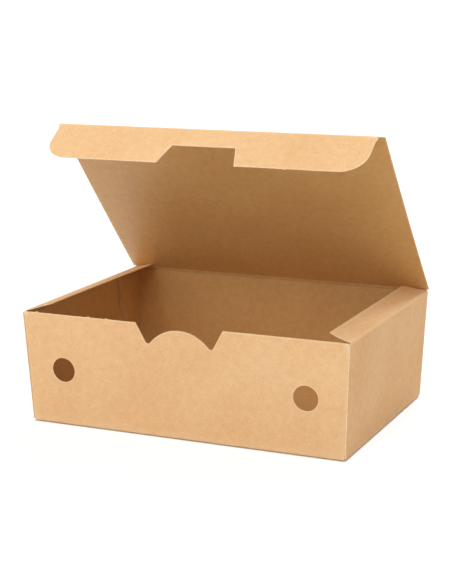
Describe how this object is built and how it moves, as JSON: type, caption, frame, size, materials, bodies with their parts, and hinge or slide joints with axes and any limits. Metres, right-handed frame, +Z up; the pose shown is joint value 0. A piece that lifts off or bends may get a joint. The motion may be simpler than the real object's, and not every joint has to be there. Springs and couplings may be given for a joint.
{
  "type": "takeaway box",
  "caption": "Open folded board food box: flared tray with round vents and a finger notch, hinged lid with a tuck flap, and a dust flap on each side.",
  "frame": {"origin": "centre of the base, on the surface that the box stands on", "axes": "+X to the right seen from the front, -Y towards the front wall with the vents, +Z up"},
  "size_m": [0.208, 0.1444, 0.1756],
  "materials": {
    "kraft_board": "matte uncoated brown kraft board"
  },
  "bodies": {
    "tray": {"tray": "kraft_board"},
    "lid": {"lid": "kraft_board"},
    "tuck_flap": {"tuck_flap": "kraft_board"},
    "left_dust_flap": {"left_dust_flap": "kraft_board"},
    "right_dust_flap": {"right_dust_flap": "kraft_board"}
  },
  "joints": [
    {"name": "lid_hinge", "type": "hinge", "parent": "tray", "child": "lid", "pos_m": [0, 0.07195, 0.069], "axis": [-1, 0, 0], "range_deg": [-48, 132]},
    {"name": "tuck_fold", "type": "hinge", "parent": "lid", "child": "tuck_flap", "pos_m": [0, -0.02379, 0.17532], "axis": [-1, 0, 0], "range_deg": [-20, 55]},
    {"name": "left_dust_fold", "type": "hinge", "parent": "tray", "child": "left_dust_flap", "pos_m": [-0.10291, 0, 0.0682], "axis": [0, -1, 0], "range_deg": [-15, 41.25]},
    {"name": "right_dust_fold", "type": "hinge", "parent": "tray", "child": "right_dust_flap", "pos_m": [0.10291, 0, 0.0682], "axis": [0, 1, 0], "range_deg": [-12, 33]}
  ],
  "couplings": [
    {"joint": "tuck_fold", "follows": "lid_hinge", "ratio": 0.41667},
    {"joint": "left_dust_fold", "follows": "lid_hinge", "ratio": 0.3125},
    {"joint": "right_dust_fold", "follows": "lid_hinge", "ratio": 0.25}
  ]
}
